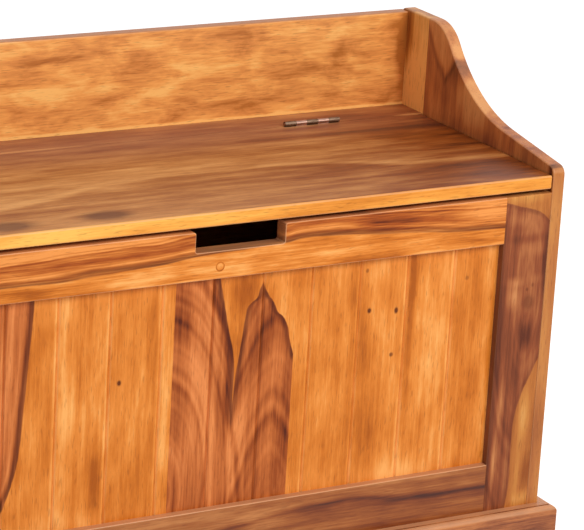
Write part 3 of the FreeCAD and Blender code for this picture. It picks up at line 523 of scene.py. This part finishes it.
# %% Top rail
RAIL_LINE = [(-384, 430), (-305, 433), (-231, 434), (-181, 437), (-130, 439), (-92, 442), (-59, 445),
             (63, 450), (87, 453), (119, 452), (169, 448), (231, 445), (273, 441), (316, 438), (384, 436)]
RAIL_HEART = ((0.08, "#5E2002"), (0.34, "#A85018"), (0.6, "#D07730"), (0.88, "#F0984C"))
RAIL_TONES = [
    ((215, -176, 456), (100, 60, 12), -0.3), ((-250, -176, 468), (220, 60, 18), 0.38),
    ((-330, -176, 418), (130, 60, 14), -0.06), ((-190, -176, 420), (110, 60, 10), 0.02),
    ((345, -176, 458), (70, 60, 14), 0.5), ((170, -176, 418), (90, 60, 8), -0.25),
    ((-120, -176, 440), (70, 60, 10), -0.1), ((310, -176, 424), (70, 60, 14), -0.12)]


def rail_figure(put, place, bent):
    """Depth above the wavy line where the heartwood of the rail ends."""
    x, _, z = put("SeparateXYZ", [bent]).node.outputs
    depth = beyond(put, z, x, RAIL_LINE)
    return depth, depth, toned(put, bent, RAIL_TONES)


rail = figured_wood("sheesham_top_rail", "x", rail_figure, heart=RAIL_HEART, wander=9, ring=8, rim=0.75,
                    rim_width=9, streaks=(160, 6), shift=0.4, sap_shares=(1.0, 0.9, 0.7, 1.4),
                    heart_shares=(1.8, 0.7, 0.5, 0.6), clouds=(80, 16), edge_highlight=0.55, face_light=0.26,
                    gloss=0.12, coat=0.06)
finish_with(rail, "front_top_rail")

# %% [markdown]
# ## Stiles
# The right stile is nearly all heartwood, dark at both edges, with a smoky swirl round a knot and two golden
# corners. The corners are curves, and the rings close round the knot, because noise alone would put one
# anywhere. The left stile comes from the same plank further along, so it shows a plain trunk.

# %% Stiles
TOP_CORNER = [(362, 468), (372, 465), (402, 458), (420, 450), (433, 438)]
LOW_CORNER = [(0, 394), (67, 398), (93, 401), (156, 402), (182, 403), (210, 410), (243, 424), (264, 434),
              (300, 450), (474, 480)]
KNOT_PITH = (408, 350, 4.5)
STILE_SHADE = -0.12
LEFT_PITH = (-392, 120, 9)
LEFT_HEART = 46
LEFT_SHADE = -0.1
STILE_TONES = [
    ((390, -176, 444), (30, 60, 14), 0.15), ((402, -176, 419), (40, 60, 10), -0.14),
    ((411, -176, 403), (35, 60, 14), 0.12), ((432, -176, 375), (14, 60, 90), -0.35),
    ((386, -176, 346), (14, 60, 28), 0.34), ((388, -176, 364), (22, 60, 10), 0.16),
    ((420, -176, 366), (14, 60, 10), 0.12), ((414, -176, 291), (30, 60, 40), -0.3),
    ((366, -176, 260), (14, 60, 330), -0.35), ((382, -176, 205), (7, 60, 45), 0.3),
    ((376, -176, 130), (6, 60, 50), 0.28), ((401, -176, 244), (12, 60, 50), -0.15),
    ((417, -176, 187), (14, 60, 45), 0.3), ((424, -176, 76), (25, 60, 16), 0.3),
    ((426, -176, 112), (10, 60, 35), -0.25), ((398, -176, 474), (50, 60, 14), 0.3)]


def right_stile_figure(put, place, bent):
    """Depth below the golden top corner and inside the lower one; the rings bend round the knot."""
    x, _, z = put("SeparateXYZ", [bent]).node.outputs
    top = put("Math", [beyond(put, z, x, TOP_CORNER), -1], operation="MULTIPLY")
    side = put("Math", [beyond(put, x, z, LOW_CORNER), -1], operation="MULTIPLY")
    depth = put("Math", [top, side], operation="MINIMUM")
    rings = trunk(put, z, x, *KNOT_PITH)
    tone = toned(put, bent, STILE_TONES)
    return depth, rings, put("Math", [tone, STILE_SHADE], operation="ADD")


def left_stile_figure(put, place, bent):
    """Depth and rings of a trunk with its pith in the stile."""
    x, _, z = put("SeparateXYZ", [bent]).node.outputs
    rings = trunk(put, z, x, *LEFT_PITH)
    return put("Math", [LEFT_HEART, rings], operation="SUBTRACT"), rings, LEFT_SHADE


KNOT = [((407, -176, 353), (3, 60, 3.5), 0.45), ((415, -176, 358), (3, 60, 4), 0.35),
        ((410, -176, 336), (13, 60, 15), 0.4)]
DULL_SAP = ((0.1, "#944E1E"), (0.38, "#B86E32"), (0.62, "#CC8640"), (0.9, "#E8AC64"))
BROWN_HEART = ((0.08, "#5C2812"), (0.34, "#904A28"), (0.6, "#B87040"), (0.88, "#DC985E"))
SMOKY = {"sap": DULL_SAP, "heart": BROWN_HEART, "heart_shares": (0.65, 0.7, 0.3, 0.5), "clouds": (150, 20),
         "swirl": 0.3, "ring": 12, "wander": 6, "rim": 0.4, "rim_width": 8, "edge_highlight": 0.0, "face_light": 0.1,
         "gloss": 0.14, "coat": 0.06}
right_stile = figured_wood("sheesham_right_stile", "z", right_stile_figure, knots=KNOT, **SMOKY)
left_stile = figured_wood("sheesham_left_stile", "z", left_stile_figure, ring=20)
finish_with(right_stile, "front_stile_right")
finish_with(left_stile, "front_stile_left")

# %% [markdown]
# ## Seat
# The seat's planks are brown with long soft streaks, lighter in places, with two dark oval knots near the
# front. Only the front edge is golden sapwood. Noise makes most streaks, but a light and a dark one cross the
# whole seat, so those two are curves along the bench. Towards the gallery a greyish painted sheen stands in
# for the gloss that reflects there, painted shade darkens the right end by the end panel and painted light
# lifts the left end.

# %% Seat
SEAT_HEART = ((0.08, "#481A06"), (0.36, "#904818"), (0.62, "#C07C42"), (0.9, "#E6A462"))
SEAT_EDGE = ((0.1, "#C4701C"), (0.38, "#E69036"), (0.62, "#F6A646"), (0.9, "#FFC05C"))
SEAT_FRONT = 174.0
LIGHT_BAND = (14, 0.16)
DARK_BAND = (14, -0.14)
LIGHT_STREAK = [(-434, -120), (-176, -58), (-120, -34), (-52, -28), (53, -22), (162, -27), (294, -70),
                (434, -80)]
DARK_STREAK = [(-434, 122), (-175, 110), (-101, 98), (12, 94), (108, 92), (154, 85), (434, 70)]
# Wood tones; the first two spots are painted shade at the right end, the third painted light at the left
SEAT_TONES_LIGHT_AND_SHADE = [
    ((470, 40, 496), (260, 220, 80), -0.3), ((430, -150, 496), (270, 90, 60), -0.3),
    ((-350, -60, 496), (480, 240, 60), 0.2), ((-300, -150, 496), (300, 60, 60), 0.1),
    ((130, -180, 487), (150, 14, 40), -0.35), ((410, -180, 487), (110, 14, 40), 0.2),
    ((-200, -180, 487), (300, 14, 40), 0.1), ((0, 30, 496), (300, 80, 60), 0.1)]
SEAM_TONES = [((-150, 127, 496), (140, 6, 40), 0.6), ((420, 128, 496), (40, 6, 40), 0.5),
              ((390, 152, 496), (90, 32, 40), 0.16)]


def seat_figure(put, place, bent):
    """Depth behind the golden front edge; rings follow the light streak. The seam is lighter in places."""
    straight = put("SeparateXYZ", [place]).node.outputs[1]
    x, y, _ = put("SeparateXYZ", [bent]).node.outputs
    rings = beyond(put, y, x, LIGHT_STREAK)
    streaks = [(rings, *LIGHT_BAND), (beyond(put, y, x, DARK_STREAK), *DARK_BAND)]
    seam = toned(put, place, SEAM_TONES)
    tone = put("Math", [toned(put, bent, SEAT_TONES_LIGHT_AND_SHADE, streaks), seam], operation="ADD")
    return put("Math", [straight, SEAT_FRONT], operation="ADD"), rings, tone


SEAT_KNOTS = [((-159, -145, 496), (48, 24, 40), 0.7), ((-284, -148, 496), (50, 25, 40), 0.7)]
# Painted sheen towards the gallery, standing in for a glossy reflection
SEAT_SHEEN = [((0, 130, 496), (700, 120, 60), 0.42)]
seat = figured_wood("sheesham_seat", "x", seat_figure, sap=SEAT_EDGE, heart=SEAT_HEART, ring=60, rim=0.0,
                    wander=20, heart_shares=(0.45, 0.35, 0.4, 0.8), sap_shares=(0.5, 0.7, 0.6, 1.0),
                    clouds=(110, 20), streaks=(300, 14), knots=SEAT_KNOTS, sheens=SEAT_SHEEN, edge_highlight=0.45,
                    gloss=0.12, coat=0.05)
finish_with(seat, "lid_plank_front", "lid_plank_middle", "lid_plank_rear", "hinge_strip")

# %% [markdown]
# ## Gallery and back
# Golden sapwood with a mottled figure: brown clouds that lie along the grain, and short fibres. Clouds have
# no outline to draw, so swirled noise makes them, and soft spots set the few that stand out in the gallery
# and the pale line at its foot; one more spot is painted shade in the gallery's corner by the right end, and
# its top gets painted shade. The lower back boards have no marks of their own, so each takes the same wood
# from another place, with painted shade on the faces turned upwards.

# %% Gallery and back
GALLERY_SAP = ((0.1, "#B86C2C"), (0.38, "#DC8C46"), (0.62, "#F2A354"), (0.9, "#FFBF6C"))
# Brown clouds and pale spots; the spot at x 436 is painted shade in the corner by the right end
GALLERY_TONES_AND_SHADE = [
    ((-107, 177, 588), (70, 60, 12), -0.35), ((-46, 177, 591), (40, 60, 8), -0.25),
    ((18, 177, 541), (50, 60, 9), -0.2), ((333, 177, 572), (20, 60, 26), -0.25),
    ((428, 177, 515), (60, 60, 30), -0.35), ((383, 177, 505), (40, 60, 9), -0.2),
    ((436, 177, 580), (22, 60, 90), -1.2), ((-60, 177, 552), (160, 60, 16), 0.2),
    ((330, 177, 530), (90, 60, 20), 0.05), ((210, 177, 520), (170, 60, 22), -0.22),
    ((300, 177, 604), (130, 60, 16), 0.25), ((130, 177, 560), (130, 60, 70), 0.12)]
GALLERY_FOOT = [((0, 177, 496.5), (2000, 12, 5), 0.7)]
# Painted shade on faces turned up: the gallery's top edge and the back boards' upward joints
GALLERY_TOP_SHADE = -0.6
BACK_UPWARD_SHADE = -0.5


def gallery_figure(put, place, bent):
    """All sapwood with brown clouds, a pale foot, painted shade in the right corner and on the top edge."""
    tone = put("Math", [toned(put, bent, GALLERY_TONES_AND_SHADE), toned(put, place, GALLERY_FOOT)], operation="ADD")
    return ALL_SAP, 0.0, put("Math", [tone, faces(put, up=GALLERY_TOP_SHADE)], operation="ADD")


def back_figure(put, place, bent):
    """Sapwood with no marks of its own; painted shade darkens the faces turned upwards, such as a joint that
    opens upwards.
    """
    return ALL_SAP, 0.0, faces(put, up=BACK_UPWARD_SHADE)


BACK = {"sap": GALLERY_SAP, "clouds": (64, 24), "swirl": 0.6, "fibres": (24, 2.2), "wander": 14}
MOTTLED = (0.4, 0.7, 0.65, 1.6)
QUIET = (0.6, 0.9, 0.5, 0.9)
BACK_SHIFT = 5.7
gallery = figured_wood("sheesham_gallery", "x", gallery_figure, sap_shares=MOTTLED, **BACK)
finish_with(gallery, "gallery_board")
for number in (1, 2, 3):
    board = figured_wood(f"sheesham_back_{number}", "x", back_figure, sap_shares=QUIET,
                         shift=BACK_SHIFT * number, **BACK)
    finish_with(board, f"back_board_{number}")

# %% [markdown]
# ## End panels
# The front board of the right end is heartwood with a pointed flame that hangs down from the shoulder, and a
# golden front edge. The flame's sides are nearly straight, so it needs no curve: a slope on both sides of its
# tip is enough. Faces turned up get a little painted shade. The rear board is lighter, and the right one's
# inner face gets painted light, with painted shade by the gallery. The left end has its own planks, so its
# flame sits elsewhere, and one function makes the figures of both.

# %% End panels
END_FRONT = 172.0
# Painted shade on faces turned up
END_TOP_SHADE = -0.06
END_RINGS = (1000, 5)
FLAME_SLOPE = 1.3
FLAME_GLOW = (-2, 10, 0.06, 0.3)
FLAME_OUTLINE = 8
DARK_RIM = (14, -0.18)
LIGHT_RIM = (9, 0.14)
END_HEART = ((0.08, "#54281A"), (0.34, "#975230"), (0.6, "#C57640"), (0.88, "#E29B5C"))
REAR_HEART = ((0.08, "#6A3212"), (0.34, "#B06628"), (0.6, "#E09644"), (0.88, "#FFBE6C"))


def end_figure(tip, height):
    """A figure with a hanging flame whose tip is at a given depth of the bench and height."""
    tones = [((433, tip - 82, height - 14), (60, 74, 50), 0.36),
             ((433, tip - 25, height + 12), (60, 22, 34), -0.3),
             ((433, tip + 8, height - 45), (60, 44, 60), 0.03),
             ((433, tip - 75, height - 62), (60, 140, 20), -0.12), ((441, -180, 450), (40, 30, 70), 0.2),
             ((441, -180, 165), (30, 20, 75), -0.2), ((446, tip - 4, height + 26), (13, 30, 30), 0.4)]

    def figure(put, place, bent):
        """Heartwood behind the golden front edge; lighter inside the flame, dark along its outline, with
        painted shade on faces turned up.
        """
        straight = put("SeparateXYZ", [place]).node.outputs[1]
        _, y, z = put("SeparateXYZ", [bent]).node.outputs
        lean = put("Math", [put("Math", [y, tip], operation="SUBTRACT")], operation="ABSOLUTE")
        rise = put("Math", [z, height], operation="SUBTRACT")
        flame = put("Math", [lean, -FLAME_SLOPE, rise], operation="MULTIPLY_ADD")
        glow = put("MapRange", [flame, *FLAME_GLOW], interpolation_type="SMOOTHSTEP")
        outline = put("Math", [flame, FLAME_OUTLINE], operation="ADD")
        tone = toned(put, bent, tones, [(outline, *DARK_RIM), (flame, *LIGHT_RIM)])
        tone = put("Math", [tone, faces(put, up=END_TOP_SHADE)], operation="ADD")
        tone = put("Math", [tone, glow], operation="ADD")
        rings = trunk(put, z, y, tip, *END_RINGS)
        return put("Math", [straight, END_FRONT], operation="ADD"), rings, tone
    return figure


# Painted light on the right rear board's inner face, brighter beside the joint, and painted shade by the
# gallery
REAR_LIGHT_AND_SHADE = [((425, 180, 590), (22, 36, 85), -0.8), ((425, 131, 525), (22, 12, 70), 0.5),
              ((425, 150, 515), (22, 60, 75), 0.62), ((425, 150, 570), (22, 90, 120), 0.62)]


def rear_figure(put, place, bent):
    """Light heartwood; the right one's inner face gets painted light over most of it, a brighter strip beside
    the joint, and painted shade by the gallery.
    """
    y = put("SeparateXYZ", [bent]).node.outputs[1]
    return ALL_HEART, y, toned(put, place, REAR_LIGHT_AND_SHADE)


END = {"sap": DULL_SAP, "heart_shares": (0.6, 0.45, 0.35, 0.8), "clouds": (190, 28), "swirl": 0.3, "ring": 26,
       "wander": 16, "streaks": (300, 14), "edge_highlight": 0.18}
FRONT_END = {"heart": END_HEART, **END}
REAR_END = {"heart": REAR_HEART, **END}
right_end = figured_wood("sheesham_right_end", "z", end_figure(tip=80, height=560), **FRONT_END)
left_end = figured_wood("sheesham_left_end", "z", end_figure(tip=10, height=480), shift=1.7, **FRONT_END)
end_rears = figured_wood("sheesham_end_rears", "z", rear_figure, **REAR_END)
finish_with(right_end, "end_right_front_board")
finish_with(left_end, "end_left_front_board")
finish_with(end_rears, "end_left_rear_board", "end_right_rear_board")

# %% [markdown]
# ## Bottom rail and plinth
# Brown boards with dark streaks along them; the bottom rail has a paler patch above a dark sweeping line.
# That line crosses the whole rail, so it is a curve. The plinth has no such mark: its rings follow the height
# alone, and the noise that bends the grain keeps them from looking ruled.

# %% Bottom rail and plinth
LOW_LINE = [(-384, 92), (-100, 95), (9, 101), (86, 110), (155, 111), (243, 105), (346, 100), (384, 99)]
LOW_SHADOW = (8, -0.25)
LOW_HEART = ((0.08, "#431606"), (0.36, "#7A3812"), (0.62, "#9E5826"), (0.9, "#C07C44"))
LOW_TONES = [((-120, -176, 122), (220, 60, 26), 0.29), ((150, -176, 126), (240, 60, 8), 0.15),
             ((40, -176, 104), (100, 60, 20), 0.38)]
PLINTH_HEART = ((0.08, "#481E10"), (0.34, "#8A4A2A"), (0.6, "#BC7240"), (0.88, "#DE9658"))


def low_figure(put, place, bent):
    """Heartwood with a dark sweeping line; paler above it at the left."""
    x, _, z = put("SeparateXYZ", [bent]).node.outputs
    above_line = beyond(put, z, x, LOW_LINE)
    return ALL_HEART, above_line, toned(put, bent, LOW_TONES, [(above_line, *LOW_SHADOW)])


def plinth_figure(put, place, bent):
    """Heartwood with rings along the board."""
    z = put("SeparateXYZ", [bent]).node.outputs[2]
    return ALL_HEART, z, 0.0


low_rail = figured_wood("sheesham_bottom_rail", "x", low_figure, heart=LOW_HEART, ring=14, edge_highlight=0.6,
                        face_light=0.45, heart_shares=(0.8, 0.6, 0.5, 0.5))
PLINTH = {"heart": PLINTH_HEART, "ring": 14, "heart_shares": (0.9, 0.7, 0.55, 0.8), "edge_highlight": 0.4,
          "face_light": 0.42}
front_plinth = figured_wood("sheesham_front_plinth", "x", plinth_figure, **PLINTH)
side_plinth = figured_wood("sheesham_side_plinth", "y", plinth_figure, **PLINTH)
finish_with(low_rail, "front_bottom_rail")
finish_with(front_plinth, "plinth_front")
finish_with(side_plinth, "plinth_left", "plinth_right")

# %% [markdown]
# ## Plug and inside
# A turned plug closes a screw hole in the top rail: its end grain shows a dark ring of glue round a pale
# middle, so the tone follows the distance from its axis. The pieces inside the box aren't lacquered: cleats,
# lid rests and battens are plain sapwood offcuts, and the floor is thin plywood with a wide, pale figure.

# %% Plug and inside
PLUG = (-26, -176.5, 430)
PLUG_TONES = [((-28, -176, 431), (10, 20, 10), 0.4)]
GLUE_RADIUS = 5.2
GLUE_LINE = (1.6, -0.34)


def plug_figure(put, place, bent):
    """Sapwood with a dark ring round the axis of the plug."""
    moved = put("VectorMath", [place, PLUG], operation="SUBTRACT")
    flat = put("VectorMath", [moved, (1, 0, 1)], operation="MULTIPLY")
    round_axis = put("VectorMath", [flat], operation="LENGTH")
    ring = put("Math", [round_axis, GLUE_RADIUS], operation="SUBTRACT")
    return ALL_SAP, round_axis, toned(put, place, PLUG_TONES, [(ring, *GLUE_LINE)])


def plain_figure(put, place, bent):
    """Sapwood with no marks of its own."""
    return ALL_SAP, 0.0, 0.0


PLAIN = {"edge_highlight": 0.1, "gloss": 0.2, "coat": 0.0}
PLY = ((0.1, "#A87848"), (0.38, "#C89A66"), (0.62, "#D8AE7C"), (0.9, "#E8C698"))
plug = figured_wood("sheesham_plug", "y", plug_figure, edge_highlight=0.0, gloss=0.12, coat=0.06)
long_cleats = figured_wood("sheesham_long_cleats", "x", plain_figure, **PLAIN)
cross_cleats = figured_wood("sheesham_cross_cleats", "y", plain_figure, shift=3.3, **PLAIN)
finish_with(plug, "rail_plug")
finish_with(long_cleats, "floor_cleat_front", "floor_cleat_back")
finish_with(cross_cleats, "floor_cleat_left", "floor_cleat_right", "lid_rest_left", "lid_rest_right",
            "lid_batten_left", "lid_batten_right")
floor_ply = figured_wood("pale_plywood", "x", plain_figure, sap=PLY, clouds=(300, 60), **PLAIN)
finish_with(floor_ply, "floor_panel")

# %% [markdown]
# ## Steel
# The hinges were pressed from sheet steel and plated. One plating comes in two copies: a lit one for the
# leaves under the seat and the pins, and a darker, browner and rougher shaded one for the leaves on the fixed
# strip, so the knuckles alternate between painted highlight and painted shade. Both are metal with a fine
# haze drawn along the barrel.

# %% Hinges and screws
PLATING_HAZE = (12, 1.0)
HAZE_LEVELS = (0.3, 0.7)
DULLED = 0.15


def steel(name, low, high, smooth):
    """Plated sheet steel: its colour and roughness follow a haze drawn out along the barrel. The haze of a
    real plating is finer than a picture can show, so its patches are drawn 12 by 1 millimetres."""
    material = bpy.data.materials.new(name)
    put = blank(material)
    haze = drawn_out(put, on_bench(put), "x", *PLATING_HAZE)
    colour = put("ValToRGB", [haze], stops=zip(HAZE_LEVELS, (low, high)))
    rough = put("MapRange", [haze, *HAZE_LEVELS, smooth, smooth + DULLED])
    shader = put("BsdfPrincipled", {"Base Color": colour, "Roughness": rough, "Metallic": 1.0})
    put("OutputMaterial", [shader])
    return material


# Lit and shaded copies of one plating: painted highlight and painted shade on alternate knuckles
bright = steel("lit_plated_steel", "#8E6E60", "#C69C88", 0.32)
shaded_steel = steel("shaded_plated_steel", "#5A4434", "#9A7E68", 0.4)
zinc = steel("zinc_plated_screws", "#8E8A80", "#BCB8AC", 0.3)
finish_with(bright, "hinge_leaf_lid_left", "hinge_leaf_lid_right", "hinge_pin_left", "hinge_pin_right")
finish_with(shaded_steel, "hinge_leaf_fixed_left", "hinge_leaf_fixed_right")
finish_with(zinc, "hinge_screws_fixed", "hinge_screws_lid", "batten_screws", "lid_rest_screws")
